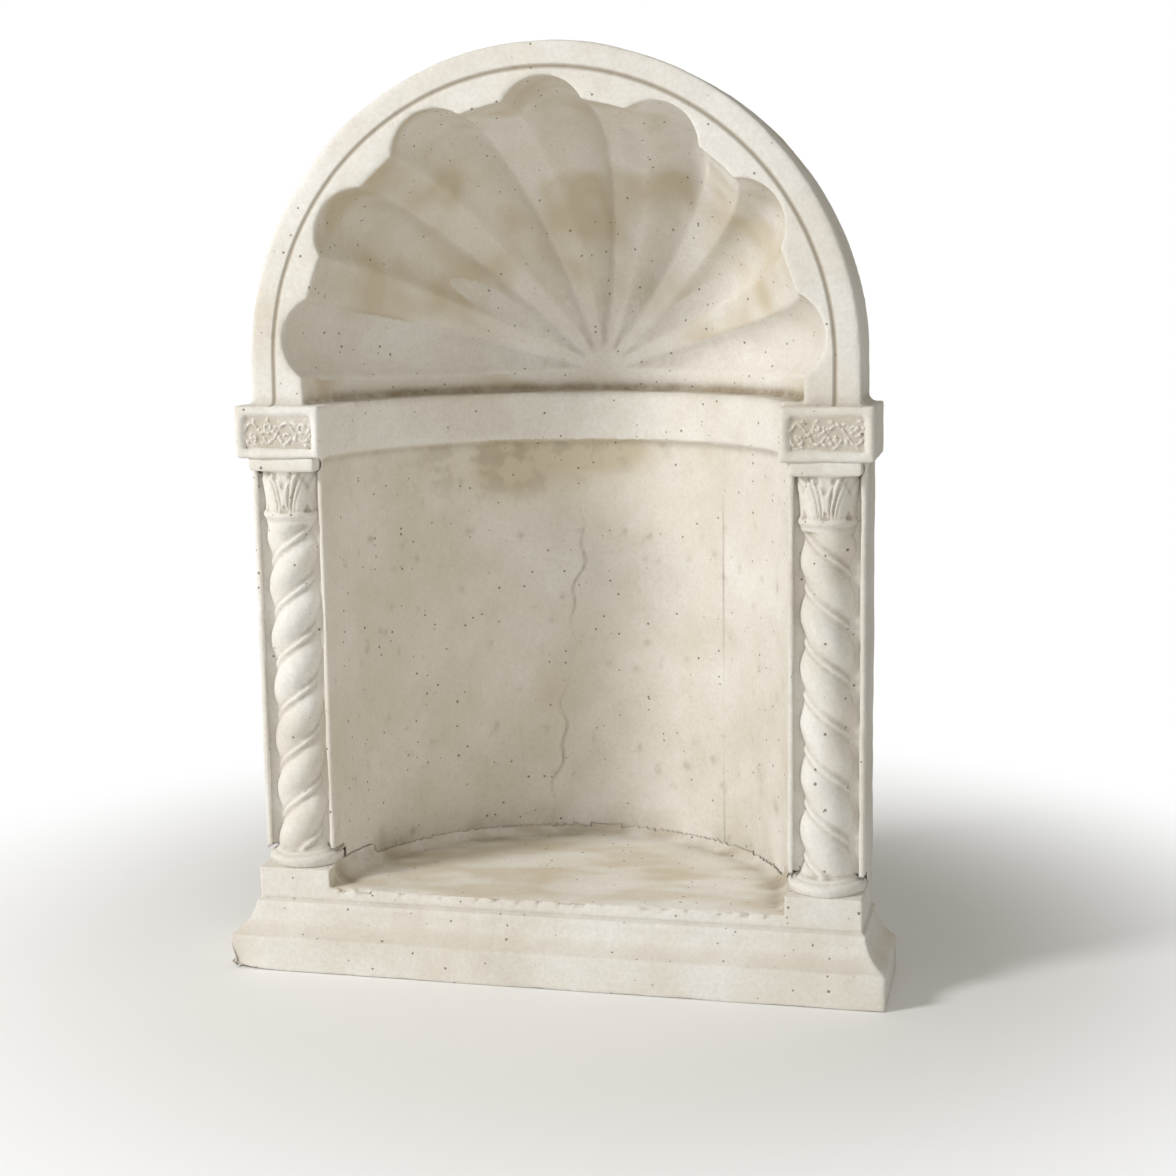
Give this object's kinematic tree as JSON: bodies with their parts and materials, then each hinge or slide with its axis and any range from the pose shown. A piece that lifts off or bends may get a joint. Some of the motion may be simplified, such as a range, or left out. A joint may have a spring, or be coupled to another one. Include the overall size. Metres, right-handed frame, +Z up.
{
  "type": "statue niche",
  "caption": "Free-standing cast stone statue niche with a fluted shell head, round arch, twisted columns and a moulded plinth.",
  "frame": {"origin": "on the ground under the middle of the overall box", "axes": "+Z up, front faces -Y, +X to the viewer's right as they face the niche"},
  "size_m": [0.656, 0.33, 0.9],
  "materials": {
    "plinth": "matte, cast stone",
    "floor": "matte, cast stone",
    "wall": "matte, cast stone",
    "frame": "matte, cast stone",
    "column": "matte, cast stone",
    "course": "matte, cast stone",
    "shell": "matte, cast stone"
  },
  "bodies": {
    "root": {"abacus_left": "column", "abacus_right": "column", "archivolt": "frame", "astragal_left": "column", "astragal_right": "column", "capital_left": "column", "capital_right": "column", "carved_panel_left": "course", "carved_panel_right": "course", "column_base_left": "column", "column_base_right": "column", "column_shaft_left": "column", "column_shaft_right": "column", "floor_cove": "floor", "impost_block_left": "course", "impost_block_right": "course", "niche_floor": "floor", "niche_wall_left": "wall", "niche_wall_left_rear": "wall", "niche_wall_rear": "wall", "niche_wall_right": "wall", "niche_wall_right_rear": "wall", "pedestal_left": "plinth", "pedestal_right": "plinth", "pier_left": "frame", "pier_right": "frame", "plinth_moulding": "plinth", "plinth_slab": "plinth", "plinth_step": "plinth", "shell_flute_1": "shell", "shell_flute_2": "shell", "shell_flute_3": "shell", "shell_flute_4": "shell", "shell_flute_5": "shell", "shell_flute_6": "shell", "shell_flute_7": "shell", "string_course_left": "course", "string_course_rear": "course", "string_course_right": "course"}
  },
  "joints": []
}
